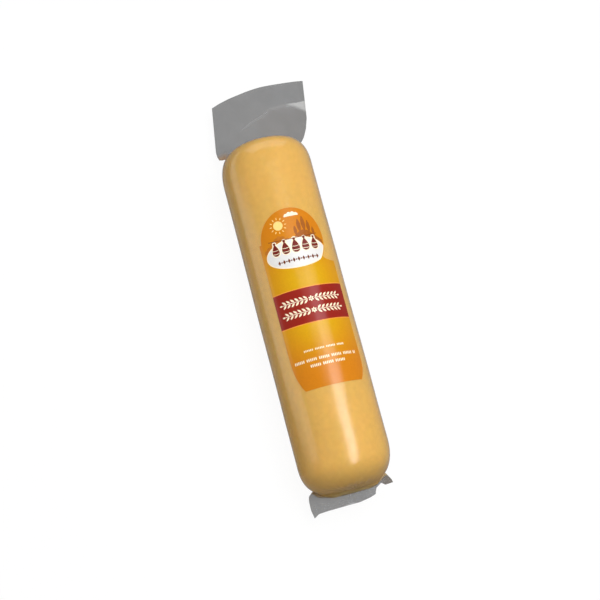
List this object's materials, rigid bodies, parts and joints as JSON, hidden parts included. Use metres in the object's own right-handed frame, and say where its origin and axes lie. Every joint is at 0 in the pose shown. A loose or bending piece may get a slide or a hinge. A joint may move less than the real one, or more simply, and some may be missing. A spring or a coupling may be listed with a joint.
{
  "type": "provolone cheese",
  "caption": "Cylindrical provolone cheese with rounded ends, sealed in clear shrink film with a long open tail and a short sealed skirt, and a curved label on its upper side.",
  "frame": {"origin": "middle of the flat spot that the log rests on, under the middle of its length", "axes": "+X along the log towards its long open tail, +Z up through the middle of the label, +Y to the label's left as it is read with +X up"},
  "size_m": [0.4711, 0.1173, 0.0993],
  "materials": {
    "cheese": "gloss",
    "film": "gloss",
    "label_orange": "gloss",
    "label_red": "gloss",
    "label_cream": "gloss"
  },
  "bodies": {
    "root": {"wrapped_cheese": "cheese", "label": "label_orange"}
  },
  "joints": []
}
